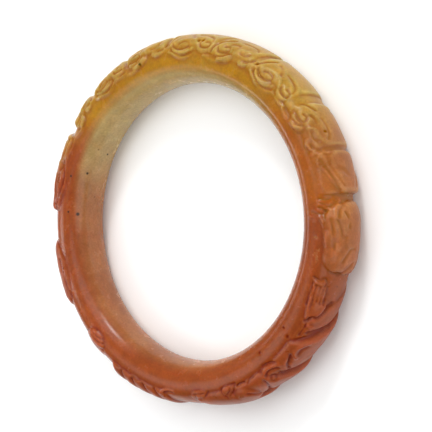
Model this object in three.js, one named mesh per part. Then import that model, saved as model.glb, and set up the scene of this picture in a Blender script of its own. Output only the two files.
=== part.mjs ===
// A carved jade bangle: one ring of polished stone, lying on a narrow flat foot.
// Cloud scrolls fill one half of its outer face, and a coiled dragon fills the other.
// Millimetres, +Z up. The origin is at the middle of the outline, on the plane of the foot.
//
// A place on the ring is given by two angles in degrees. The turn goes anticlockwise
// round the ring, seen from above, from +X. The tilt goes round the section: 0 is the
// outermost line, 90 the upper face, 180 the bore and -90 the lower face.

import * as THREE from 'three';

const { degToRad, lerp, smoothstep } = THREE.MathUtils;

// Driving sizes of the ring, millimetres
const BORE_DIAMETER = 57;
const WALL_THICKNESS = 8.6;
const RING_WIDTH = 10.8;
const FOOT_DEPTH = 0.15;

// How square the section is: 2 is an ellipse
const SECTION_POWER = 2.2;

// Carving, millimetres: how far each form stands above the ground of the outer face
const CLOUD_HEIGHT = 1.4;
const DRAGON_HEIGHT = 1.4;
const CLOUD_ROUNDING = 0.9;
const DRAGON_ROUNDING = 1.3;
const LOBE_ROUNDING = 2.8;
const SCROLL_GROOVE_DEPTH = 0.3;
const SCROLL_GROOVE_WIDTH = 0.5;
const SCROLL_EYE_DEPTH = 0.3;
const SCROLL_EYE_SHARE = 0.4;
const SCROLL_DROP = 0.2;
const TOOTH_SLOT_DEPTH = 0.5;
const TOOTH_SLOT_WIDTH = 0.5;

// The carving thins out towards the two shoulders as this power of the tilt's cosine
const THINNING_POWER = 0.8;

// Tilts where the cloud bodies, the floor between them and the dragon's body stop
const CLOUD_EDGE = 58;
const FLOOR_EDGE = 78;
const DRAGON_EDGE = 64;
const FAR_EDGE = -70;

// Breaks between the clouds: turn, how far the break leans over by the upper face, half
// of its width, all in degrees, the share of the cloud height that is left in it, and the
// tilt that the upper edge of the clouds has there. The first cloud is a leaf, with an
// edge that climbs from a low tilt.
const LEAF_EDGE = 20;
const CLOUD_BREAKS = [
  { at: 3.4, lean: 0, half: 1, floor: 0.32, edge: LEAF_EDGE },
  { at: 17.6, lean: 0, half: 0.6, floor: 0.55, edge: CLOUD_EDGE },
  { at: 33.9, lean: 1.5, half: 1.7, floor: 0.62, edge: CLOUD_EDGE },
  { at: 52.9, lean: 3, half: 0.9, floor: 0.55, edge: CLOUD_EDGE },
  { at: 67.9, lean: 5.5, half: 0.8, floor: 0.75, edge: CLOUD_EDGE },
  { at: 91.2, lean: -0.5, half: 0.9, floor: 0.48, edge: CLOUD_EDGE },
  { at: 110.8, lean: -1, half: 0.9, floor: 0.05, edge: CLOUD_EDGE },
  { at: 128.3, lean: 0, half: 1.3, floor: 0.45, edge: CLOUD_EDGE },
  { at: 142.8, lean: 0, half: 1.8, floor: 0, edge: CLOUD_EDGE },
  { at: 174.5, lean: 0, half: 2.5, floor: 0, edge: CLOUD_EDGE },
];

// The two scroll heads on each shoulder of a cloud: place and half length as shares of the
// cloud's length, tilt of the middle in degrees and half width in millimetres
const SCROLL_TILT = 62;
const SCROLL_HEADS = [
  { place: 0.19, length: 0.18, tilt: 54, width: 1.7 },
  { place: 0.7, length: 0.26, tilt: 60, width: 2 },
];

// Folds of the dragon's body, wound round the ring as in a rope, with this many degrees of
// tilt to a degree of turn. They slope down gently to their upper edge, so the way in from
// that edge counts for a share of its length.
const FOLD_SLANT = 9;
const FOLD_EDGE_SHARE = 0.4;

// Turn where each fold starts and ends on the outermost line, and its height as a share
const DRAGON_FOLDS = [
  { from: 276, to: 292.6, first: 0.3, last: 1.15 },
  { from: 293.6, to: 306.9, first: 0.4, last: 1.1 },
  { from: 308.1, to: 322.6, first: 0.5, last: 0.9 },
  { from: 323.8, to: 331.8, first: 0.3, last: 0.3 },
];

// Rounded lobes of the dragon: turn and tilt of the middle, half lengths round the ring
// and across the face in degrees, and height as a share
const DRAGON_LOBES = [
  { name: 'head', at: 351.5, tilt: -8, along: 11, across: 62, height: 0.95 },
  { name: 'cheek', at: 356, tilt: 26, along: 5.5, across: 38, height: 1 },
  { name: 'snout', at: 346.5, tilt: 24, along: 5.5, across: 38, height: 0.95 },
  { name: 'brow', at: 351.5, tilt: 44, along: 4.5, across: 20, height: 0.9 },
  { name: 'wrist', at: 337.6, tilt: 55, along: 1.4, across: 17, height: 0.5 },
  { name: 'fore paw', at: 333.7, tilt: 51.5, along: 3.4, across: 20, height: 0.5 },
  { name: 'elbow', at: 327.5, tilt: 38, along: 4.5, across: 24, height: 0.5 },
  { name: 'tail fan', at: 194, tilt: 34, along: 12, across: 54, height: 0.86 },
  { name: 'tail bud', at: 222.8, tilt: 44, along: 5.2, across: 50, height: 0.36 },
  { name: 'hind knee', at: 290, tilt: 24, along: 5.5, across: 30, height: 1.1 },
];

// Knobs and tufts by the upper shoulder: turn and tilt of the middle in degrees, half
// lengths round the ring and across the face and height in millimetres
const DRAGON_KNOBS = [
  { name: 'tail knob', at: 223.2, tilt: 77, length: 2.8, width: 1.5, height: 0.75 },
  { name: 'hind tuft', at: 273.6, tilt: 64, length: 2, width: 1.1, height: 0.5 },
  { name: 'knee tuft', at: 286, tilt: 58, length: 1.9, width: 1.2, height: 0.6 },
  { name: 'back curl', at: 303.4, tilt: 45, length: 2.4, width: 1.7, height: 0.6 },
  { name: 'elbow curl', at: 315.2, tilt: 28, length: 2.2, width: 1.7, height: 0.9 },
];

// The toothed ridge along the dragon's back
const RIDGE_FROM = 236.5;
const RIDGE_TO = 262.5;
const RIDGE_TOP_TILT = 66;
const RIDGE_LOW_TILT = -40;
const RIDGE_FIRST_HEIGHT = 0.85;
const RIDGE_LAST_HEIGHT = 0.45;
const RIDGE_TEETH = 5;
const RIDGE_LEAN = 5;

// Turn where the head starts and the columns of facets stand upright again
const HEAD_FROM = 341;

// Facets
const TURN_STEP = 1.65;
const BREAK_FLOOR_SHARE = 0.9;
const BORE_SIDES = 96;
const BORE_ROWS = 5;
const SHOULDER_TILT = 94;
const UPPER_TILTS = [10, 20, 30, 40, 49, 58, 67, 76, 85];
const LOWER_TILTS = [-60, -45, -30, -15, 0];

const QUARTER = 90;
const HALF_TURN = 180;
const FULL_TURN = 360;
const halfWall = WALL_THICKNESS / 2;
const halfWidth = RING_WIDTH / 2;
const middleRadius = BORE_DIAMETER / 2 + halfWall;
const middleHeight = halfWidth - FOOT_DEPTH;

// Length of a degree of tilt on the surface, from the mean of the two half widths
const tiltLength = degToRad(1) * Math.hypot(halfWall, halfWidth) / Math.SQRT2;

// Tilt of the edge between the foot and the rounded side
const footTilt = -THREE.MathUtils.radToDeg(
  Math.asin(((halfWidth - FOOT_DEPTH) / halfWidth) ** (SECTION_POWER / 2)),
);

// A share of the way along a superellipse: the signed power of a cosine or sine
function signedPower(value, power) {
  return Math.sign(value) * Math.abs(value) ** power;
}

// The point of the plain section at a tilt, measured from the middle of the wall
function sectionPoint(tilt) {
  const angle = degToRad(tilt);
  const power = 2 / SECTION_POWER;
  return new THREE.Vector2(
    halfWall * signedPower(Math.cos(angle), power),
    halfWidth * signedPower(Math.sin(angle), power),
  );
}

// The outward direction of the plain section at one of its points
function sectionNormal(point) {
  const power = SECTION_POWER - 1;
  return new THREE.Vector2(
    signedPower(point.x / halfWall, power) / halfWall,
    signedPower(point.y / halfWidth, power) / halfWidth,
  ).normalize();
}

// Signed way from one turn to another, between -180 and 180 degrees
function turnBetween(turn, start) {
  return THREE.MathUtils.euclideanModulo(turn - start + HALF_TURN, FULL_TURN) - HALF_TURN;
}

// Millimetres along the surface between two turns, at a tilt
function alongRing(turn, start, tilt) {
  return degToRad(turnBetween(turn, start)) * (middleRadius + sectionPoint(tilt).x);
}

// Millimetres across the outer face between two tilts
function acrossFace(tilt, start) {
  return (tilt - start) * tiltLength;
}

// Height of a form with rounded edges, from the distance inside its outline
function pillow(inside, rounding) {
  const left = 1 - THREE.MathUtils.clamp(inside / rounding, 0, 1);
  return Math.sqrt(1 - left * left);
}

// A rounded groove or dimple, from the distance to its line and its width
function dip(distance, width) {
  return Math.exp(-((distance / width) ** 2));
}

// How much of the carving's height is left at a tilt
function thinning(tilt) {
  return Math.max(0, Math.cos(degToRad(tilt))) ** THINNING_POWER;
}

// Distance inside an oval, in millimetres, from the turn and tilt of its middle and its
// half lengths round the ring and across the face
function insideOval(turn, tilt, { at, tilt: middle, length, width }) {
  const beside = alongRing(turn, at, tilt) / length;
  const above = acrossFace(tilt, middle) / width;
  return (1 - Math.hypot(beside, above)) * width;
}

// The scroll heads of a cloud on one side, from the turns where the cloud starts and ends
function scrollHeads(from, to, side) {
  const cloudLength = alongRing(to, from, SCROLL_TILT);
  return SCROLL_HEADS.map(({ place, length, tilt, width }) => ({
    at: lerp(from, to, place),
    tilt: side * tilt,
    length: length * cloudLength,
    width,
  }));
}

// Height with a scroll head added: a raised oval with a groove round it and an eye
function withScrollHead(height, turn, tilt, head) {
  const inside = insideOval(turn, tilt, head);
  const top = CLOUD_HEIGHT * thinning(SCROLL_TILT) - SCROLL_DROP;
  const raised = Math.max(height, top * pillow(inside, CLOUD_ROUNDING));
  const groove = SCROLL_GROOVE_DEPTH * dip(inside, SCROLL_GROOVE_WIDTH);
  const eye = SCROLL_EYE_DEPTH * dip(inside - head.width, SCROLL_EYE_SHARE * head.width);
  return Math.max(0, raised - groove - eye);
}

// Height of the clouds above the ground
function cloudHeight(turn, tilt) {
  const lean = tilt / QUARTER;
  const full = CLOUD_HEIGHT * thinning(tilt);
  const floorLeft = 1 - smoothstep(Math.abs(tilt), CLOUD_EDGE, FLOOR_EDGE);
  for (let i = 0; i + 1 < CLOUD_BREAKS.length; i += 1) {
    const first = CLOUD_BREAKS[i];
    const last = CLOUD_BREAKS[i + 1];
    const from = first.at + first.half + first.lean * lean;
    const to = last.at - last.half + last.lean * lean;
    const nextFrom = last.at + last.half + last.lean * lean;
    if (turn >= to && turn < nextFrom) {
      return full * last.floor * floorLeft;
    }
    if (turn >= from && turn < to) {
      const share = (turn - from) / (to - from);
      const floor = floorLeft * lerp(first.floor, last.floor, share);
      const ends = Math.min(alongRing(turn, from, tilt), alongRing(to, turn, tilt));
      const upperEdge = lerp(first.edge, last.edge, share);
      const sides = Math.min(acrossFace(upperEdge, tilt), acrossFace(tilt, FAR_EDGE));
      const body = floor + (1 - floor) * pillow(Math.min(ends, sides), CLOUD_ROUNDING);
      const heads = first.edge < CLOUD_EDGE ? [] : scrollHeads(from, to, tilt < 0 ? -1 : 1);
      return heads.reduce((height, head) => withScrollHead(height, turn, tilt, head), full * body);
    }
  }
  return 0;
}

// Height of the slanted folds of the dragon's body
function foldHeight(turn, tilt) {
  const wound = turn + tilt / FOLD_SLANT;
  for (const fold of DRAGON_FOLDS) {
    if (wound > fold.from && wound < fold.to) {
      const share = (wound - fold.from) / (fold.to - fold.from);
      const inside = Math.min(
        alongRing(wound, fold.from, tilt),
        alongRing(fold.to, wound, tilt),
        acrossFace(DRAGON_EDGE, tilt) * FOLD_EDGE_SHARE,
        acrossFace(tilt, FAR_EDGE),
      );
      return lerp(fold.first, fold.last, share) * pillow(inside, DRAGON_ROUNDING);
    }
  }
  return 0;
}

// Height of one rounded lobe
function lobeHeight(turn, tilt, lobe) {
  const along = turnBetween(turn, lobe.at) / lobe.along;
  const across = (tilt - lobe.tilt) / lobe.across;
  const inside = (1 - Math.hypot(along, across)) * degToRad(lobe.along) * middleRadius;
  return lobe.height * pillow(inside, LOBE_ROUNDING);
}

// Height of the toothed ridge
function ridgeHeight(turn, tilt) {
  const set = turn + RIDGE_LEAN * (tilt / QUARTER);
  const inside = Math.min(
    alongRing(set, RIDGE_FROM, tilt),
    alongRing(RIDGE_TO, set, tilt),
    acrossFace(RIDGE_TOP_TILT, tilt),
    acrossFace(tilt, RIDGE_LOW_TILT),
  );
  const share = (set - RIDGE_FROM) / (RIDGE_TO - RIDGE_FROM);
  const tooth = share * RIDGE_TEETH;
  const toSlot = (tooth - Math.round(tooth)) * alongRing(RIDGE_TO, RIDGE_FROM, tilt) / RIDGE_TEETH;
  const top = lerp(RIDGE_FIRST_HEIGHT, RIDGE_LAST_HEIGHT, share);
  const slot = TOOTH_SLOT_DEPTH * dip(toSlot, TOOTH_SLOT_WIDTH);
  return Math.max(0, top - slot) * pillow(inside, DRAGON_ROUNDING);
}

// Height of the dragon above the ground
function dragonHeight(turn, tilt) {
  const forms = [foldHeight(turn, tilt), ridgeHeight(turn, tilt)];
  for (const lobe of DRAGON_LOBES) {
    forms.push(lobeHeight(turn, tilt, lobe));
  }
  const heights = [DRAGON_HEIGHT * thinning(tilt) * Math.max(...forms)];
  for (const knob of DRAGON_KNOBS) {
    heights.push(knob.height * pillow(insideOval(turn, tilt, knob), DRAGON_ROUNDING));
  }
  return Math.max(...heights);
}

// Height of all the carving above the ground of the ring
function carvingHeight(turn, tilt) {
  if (tilt > SHOULDER_TILT || tilt <= footTilt) {
    return 0;
  }
  return Math.max(cloudHeight(turn, tilt), dragonHeight(turn, tilt));
}

// The point of the carved ring at a turn and a tilt
function ringPoint(turn, tilt) {
  const section = sectionPoint(tilt);
  section.addScaledVector(sectionNormal(section), carvingHeight(turn, tilt));
  const angle = degToRad(turn);
  const radius = middleRadius + section.x;
  return [
    radius * Math.cos(angle),
    radius * Math.sin(angle),
    Math.max(0, middleHeight + section.y),
  ];
}

// Turns of the slots between the ridge's teeth
function toothSlots() {
  const slots = [];
  for (let i = 1; i < RIDGE_TEETH; i += 1) {
    slots.push(lerp(RIDGE_FROM, RIDGE_TO, i / RIDGE_TEETH));
  }
  return slots;
}

// Turns of the columns of facets: the edges of each form, and even steps between them
function columnTurns() {
  const slotHalf = THREE.MathUtils.radToDeg(TOOTH_SLOT_WIDTH / middleRadius);
  const edges = [
    ...CLOUD_BREAKS.flatMap(({ at, half }) => [
      at - half,
      at - half * BREAK_FLOOR_SHARE,
      at + half * BREAK_FLOOR_SHARE,
      at + half,
    ]),
    ...toothSlots().flatMap((slot) => [slot - slotHalf, slot, slot + slotHalf]),
    ...DRAGON_FOLDS.flatMap(({ from, to }) => [from, to]),
  ];
  const turns = [];
  edges.forEach((start, i) => {
    const end = i + 1 < edges.length ? edges[i + 1] : edges[0] + FULL_TURN;
    const steps = Math.ceil((end - start) / TURN_STEP);
    for (let step = 0; step < steps; step += 1) {
      turns.push(lerp(start, end, step / steps));
    }
  });
  return turns;
}

// How far a column leans over by the upper face, so that it follows the slanted forms
function columnLean(turn) {
  const lastFold = DRAGON_FOLDS[DRAGON_FOLDS.length - 1];
  const marks = [
    ...CLOUD_BREAKS,
    { at: RIDGE_FROM, lean: -RIDGE_LEAN },
    { at: RIDGE_TO, lean: -RIDGE_LEAN },
    { at: DRAGON_FOLDS[0].from, lean: -QUARTER / FOLD_SLANT },
    { at: lastFold.from, lean: -QUARTER / FOLD_SLANT },
    { at: HEAD_FROM, lean: 0 },
  ];
  const next = marks.findIndex(({ at }) => turn <= at);
  if (next < 1) {
    return 0;
  }
  const first = marks[next - 1];
  const last = marks[next];
  return lerp(first.lean, last.lean, (turn - first.at) / (last.at - first.at));
}

// A closed row of points round the ring at one tilt
function addRow(positions, turns, tilt, leans) {
  return turns.map((turn) => {
    const leaning = leans ? turn + columnLean(turn) * (tilt / QUARTER) : turn;
    positions.push(...ringPoint(leaning, tilt));
    return { index: positions.length / 3 - 1, turn: leaning };
  });
}

// Facets between two rows. Rows with the same columns are joined column by column, and
// other rows where their turns are nearest.
function joinRows(indices, lower, upper) {
  let i = 0;
  let j = 0;
  const sameColumns = lower.length === upper.length;
  const turnOf = (row, k) => row[k % row.length].turn + FULL_TURN * Math.floor(k / row.length);
  const turnAt = (row, k) => (sameColumns ? k : turnOf(row, k));
  const indexAt = (row, k) => row[k % row.length].index;
  while (i < lower.length || j < upper.length) {
    const stepLower = i < lower.length
      && (j === upper.length || turnAt(lower, i + 1) <= turnAt(upper, j + 1));
    if (stepLower) {
      indices.push(indexAt(lower, i), indexAt(lower, i + 1), indexAt(upper, j));
      i += 1;
    } else {
      indices.push(indexAt(lower, i), indexAt(upper, j + 1), indexAt(upper, j));
      j += 1;
    }
  }
}

// The ring as one closed surface: carved rows on the outer face, plain rows on the bore
function ringGeometry() {
  const positions = [];
  const indices = [];
  const carvedTurns = columnTurns();
  const boreTurns = [];
  for (let i = 0; i < BORE_SIDES; i += 1) {
    boreTurns.push(FULL_TURN * (i / BORE_SIDES));
  }
  const footInner = -HALF_TURN - footTilt;
  const carvedTilts = [footInner, footTilt, ...LOWER_TILTS, ...UPPER_TILTS, SHOULDER_TILT];
  const rows = carvedTilts.map((tilt) => addRow(positions, carvedTurns, tilt, true));
  for (let i = 1; i <= BORE_ROWS; i += 1) {
    const tilt = lerp(SHOULDER_TILT, FULL_TURN + footInner, i / (BORE_ROWS + 1));
    rows.push(addRow(positions, boreTurns, tilt, false));
  }
  rows.forEach((row, i) => joinRows(indices, row, rows[(i + 1) % rows.length]));

  const geometry = new THREE.BufferGeometry();
  geometry.setAttribute('position', new THREE.Float32BufferAttribute(positions, 3));
  geometry.setIndex(indices);
  // The carving stands out unevenly, so the middle of the outline is a little off the bore
  geometry.computeBoundingBox();
  const middle = geometry.boundingBox.getCenter(new THREE.Vector3());
  geometry.translate(-middle.x, -middle.y, 0);
  geometry.computeVertexNormals();
  return geometry;
}

const jade = new THREE.MeshStandardMaterial({ color: 0xb0561c, roughness: 0.28, metalness: 0 });

const bangle = new THREE.Mesh(ringGeometry(), jade);
bangle.name = 'bangle';

const group = new THREE.Group();
group.add(bangle);

export default group;
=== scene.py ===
"""A carved jade bangle, russet and honey coloured, lying on a pale floor.

A place on the ring is given by two angles in degrees. The turn goes anticlockwise round
the ring, seen from above, from +X. The tilt goes round the section: 0 is the outermost
line, 90 the upper face, 180 the bore and -90 the lower face. Carving sizes are millimetres.
"""
import math

import bpy
import numpy as np
from bpy.props import FloatProperty, FloatVectorProperty, PointerProperty
from mathutils import Matrix, Vector


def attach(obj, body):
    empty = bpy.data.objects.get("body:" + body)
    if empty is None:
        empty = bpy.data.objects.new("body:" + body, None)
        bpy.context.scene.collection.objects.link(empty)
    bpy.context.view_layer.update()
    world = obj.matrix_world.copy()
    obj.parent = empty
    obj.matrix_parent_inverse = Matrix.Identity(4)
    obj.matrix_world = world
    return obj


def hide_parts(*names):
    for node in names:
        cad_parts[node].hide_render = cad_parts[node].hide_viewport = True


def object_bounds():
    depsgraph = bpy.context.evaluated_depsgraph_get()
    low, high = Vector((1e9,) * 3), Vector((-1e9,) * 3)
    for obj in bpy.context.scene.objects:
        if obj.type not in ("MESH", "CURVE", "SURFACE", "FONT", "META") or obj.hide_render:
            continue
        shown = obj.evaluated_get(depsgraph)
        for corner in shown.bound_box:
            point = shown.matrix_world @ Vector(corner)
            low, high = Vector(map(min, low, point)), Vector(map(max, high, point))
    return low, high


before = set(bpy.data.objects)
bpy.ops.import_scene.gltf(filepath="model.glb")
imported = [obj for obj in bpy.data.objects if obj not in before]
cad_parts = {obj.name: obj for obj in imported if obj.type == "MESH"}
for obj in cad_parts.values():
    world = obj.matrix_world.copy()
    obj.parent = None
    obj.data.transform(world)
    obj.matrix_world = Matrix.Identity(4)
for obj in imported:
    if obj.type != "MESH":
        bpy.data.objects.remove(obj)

bl_info = {
    "name": "Carved Jade Bangle",
    "version": (1, 0, 0),
    "blender": (4, 5, 0),
    "location": "3D View > Sidebar > Jade Bangle",
    "description": "Builds a jade bangle carved with clouds and a dragon, and its stage",
    "category": "Object",
}

MM = 0.001
CAD_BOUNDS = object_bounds()

# The plain ring under the carving, millimetres
BORE_DIAMETER = 57.0
WALL_THICKNESS = 8.6
RING_WIDTH = 10.8
FOOT_DEPTH = 0.15
SECTION_POWER = 2.2

# Main masses of the carving: heights and roundings in millimetres, edges in degrees of tilt
CLOUD_HEIGHT = 1.4
DRAGON_HEIGHT = 1.4
CLOUD_ROUNDING = 0.9
DRAGON_ROUNDING = 1.3
LOBE_ROUNDING = 2.8
THINNING_POWER = 0.8
CLOUD_EDGE = 58.0
FLOOR_EDGE = 78.0
LEAF_EDGE = 20.0
DRAGON_EDGE = 64.0
SCROLL_TILT = 62.0
FAR_EDGE = -70.0

# Breaks between the clouds: turn, lean by the upper face and half width in degrees, the share
# of the cloud height left in the break, the tilt where the cloud's edge starts, and how much
# of the break is filled by that edge
CLOUD_BREAKS = (
    (3.4, 0.0, 1.0, 0.32, LEAF_EDGE, 0.2),
    (17.6, 0.0, 0.6, 0.55, CLOUD_EDGE, 0.6),
    (33.9, 1.5, 1.7, 0.62, CLOUD_EDGE, 0.7),
    (52.9, 3.0, 0.9, 0.55, CLOUD_EDGE, 0.6),
    (67.9, 5.5, 0.8, 0.75, CLOUD_EDGE, 0.4),
    (91.2, -0.5, 0.9, 0.48, CLOUD_EDGE, 0.0),
    (110.8, -1.0, 0.9, 0.05, CLOUD_EDGE, 0.0),
    (128.3, 0.0, 1.3, 0.45, CLOUD_EDGE, 0.0),
    (142.8, 0.0, 1.8, 0.0, CLOUD_EDGE, 0.0),
    (174.5, 0.0, 2.5, 0.0, CLOUD_EDGE, 0.0),
)

# The two scroll heads of each cloud: place and half length as shares of the cloud's length,
# tilt of the middle, and half width in millimetres
SCROLL_HEADS = ((0.19, 0.18, 54.0, 1.7), (0.7, 0.26, 60.0, 2.0))
SCROLL_RISE = -0.2

# The hidden lower edge of a cloud has only this many lines
LOWER_EDGE_LINES = 4

# How much higher or deeper the dragon's lines are than listed, and how wide every line is,
# both as shares of the listed sizes
DRAGON_LINE_SHARE = 1.2
LINE_WIDTH_SHARE = 0.68

# Lines of the scrolls, each drawn through places given as a share of the cloud's length and
# a tilt. Heights are millimetres: a raised rim is above 0 and a groove below.
ARCHED_SCROLL = (
    (0.26, 0.36, ((0.98, 69), (0.87, 77), (0.73, 84), (0.57, 86), (0.43, 81), (0.33, 75),
                  (0.13, 77), (-0.04, 76))),
    (-0.3, 0.26, ((0.93, 65), (0.83, 74), (0.67, 80), (0.5, 80), (0.39, 73))),
    (0.2, 0.3, ((0.88, 62), (0.81, 70), (0.67, 75), (0.53, 75), (0.45, 69), (0.42, 63))),
    (-0.34, 0.28, ((0.9, 53), (0.84, 61), (0.73, 66), (0.59, 64), (0.52, 57), (0.56, 50),
                   (0.67, 48), (0.76, 53))),
    (-0.4, 0.32, ((0.99, 50), (0.94, 40), (0.88, 27), (0.84, 16))),
    (0.2, 0.3, ((0.76, 47), (0.67, 43), (0.56, 41), (0.44, 43), (0.36, 50), (0.31, 58),
                (0.22, 64), (0.09, 65), (0.0, 59))),
    (-0.34, 0.26, ((0.28, 52), (0.22, 59), (0.11, 60), (0.05, 54), (0.09, 47), (0.18, 47))),
    (-0.3, 0.3, ((0.06, 43), (0.12, 34), (0.27, 27), (0.46, 24))),
    (-0.2, 0.5, ((0.5, 36), (0.6, 24), (0.72, 18))),
)
FLAME_SCROLL = (
    (0.28, 0.38, ((1.16, 79), (1.0, 83.5), (0.84, 84), (0.68, 79), (0.53, 65))),
    (-0.32, 0.28, ((1.1, 70), (0.97, 73), (0.81, 73), (0.66, 69), (0.58, 59))),
    (-0.36, 0.3, ((1.05, 64), (1.05, 48), (0.97, 34), (0.8, 22))),
    (-0.32, 0.26, ((0.95, 52), (0.86, 61), (0.72, 61), (0.63, 53), (0.69, 45), (0.79, 48))),
    (-0.36, 0.26, ((0.72, 37), (0.62, 33), (0.53, 34))),
    (0.24, 0.3, ((0.47, 57), (0.45, 47), (0.39, 42), (0.3, 40), (0.2, 38), (0.12, 32),
                 (0.1, 25))),
    (-0.32, 0.3, ((0.6, 19), (0.42, 16), (0.24, 18), (0.13, 25))),
    (-0.3, 0.26, ((0.36, 50), (0.22, 50), (0.14, 44))),
    (0.24, 0.3, ((0.0, 58), (0.06, 66), (0.2, 71))),
    (-0.26, 0.3, ((-0.04, 46), (0.03, 56), (0.14, 62))),
)
LEAF_SCROLL = (
    (0.2, 0.34, ((0.03, 17), (0.3, 35), (0.52, 46), (0.74, 53), (0.92, 51), (1.0, 42))),
    (0.26, 0.3, ((0.73, 60), (0.87, 58), (0.95, 52))),
    (-0.26, 0.3, ((0.96, 44), (0.9, 34), (0.98, 25))),
    (-0.24, 0.34, ((0.14, 15), (0.4, 27), (0.68, 37), (0.86, 38))),
    (-0.34, 0.9, ((0.42, 2), (0.52, 10), (0.56, 20))),
)

# Folds of the dragon's body: turns of both ends on the outermost line, and heights there.
# The slant is degrees of tilt for each degree of turn.
FOLD_SLANT = 9.0
FOLD_EDGE_SHARE = 0.4
DRAGON_FOLDS = (
    (276.0, 292.6, 0.3, 1.15),
    (293.6, 306.9, 0.4, 1.1),
    (308.1, 322.6, 0.5, 0.9),
    (323.8, 331.8, 0.3, 0.3),
)

# Rounded lobes of the dragon: turn, tilt, half lengths along and across in degrees, height
DRAGON_LOBES = (
    (351.5, -8.0, 11.0, 62.0, 0.95),
    (356.0, 26.0, 5.5, 38.0, 1.0),
    (346.5, 24.0, 5.5, 38.0, 0.95),
    (351.5, 44.0, 4.5, 20.0, 0.9),
    (337.6, 55.0, 1.4, 17.0, 0.5),
    (333.7, 51.5, 3.4, 20.0, 0.5),
    (327.5, 38.0, 4.5, 24.0, 0.5),
    (194.0, 34.0, 12.0, 54.0, 0.86),
    (222.8, 44.0, 5.2, 50.0, 0.36),
    (290.0, 24.0, 5.5, 30.0, 1.1),
)

# Knobs and tufts that stand up by the shoulder: turn and tilt of the middle, half lengths
# along and across and height, in millimetres
DRAGON_KNOBS = (
    (223.2, 77.0, 2.8, 1.5, 0.75),
    (273.6, 64.0, 2.0, 1.1, 0.5),
    (286.0, 58.0, 1.9, 1.2, 0.6),
    (303.4, 45.0, 2.4, 1.7, 0.6),
    (315.2, 28.0, 2.2, 1.7, 0.9),
)

# The toothed ridge along the dragon's back: both ends as turns, both edges as tilts, heights
# as shares of the dragon's height and slots in millimetres
RIDGE_FROM = 236.5
RIDGE_TO = 262.5
RIDGE_TOP_TILT = 66.0
RIDGE_LOW_TILT = -40.0
RIDGE_HEIGHTS = (0.85, 0.45)
RIDGE_TEETH = 5
RIDGE_LEAN = 5.0
TOOTH_SLOT_DEPTH = 0.5
TOOTH_SLOT_WIDTH = 0.5

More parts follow.
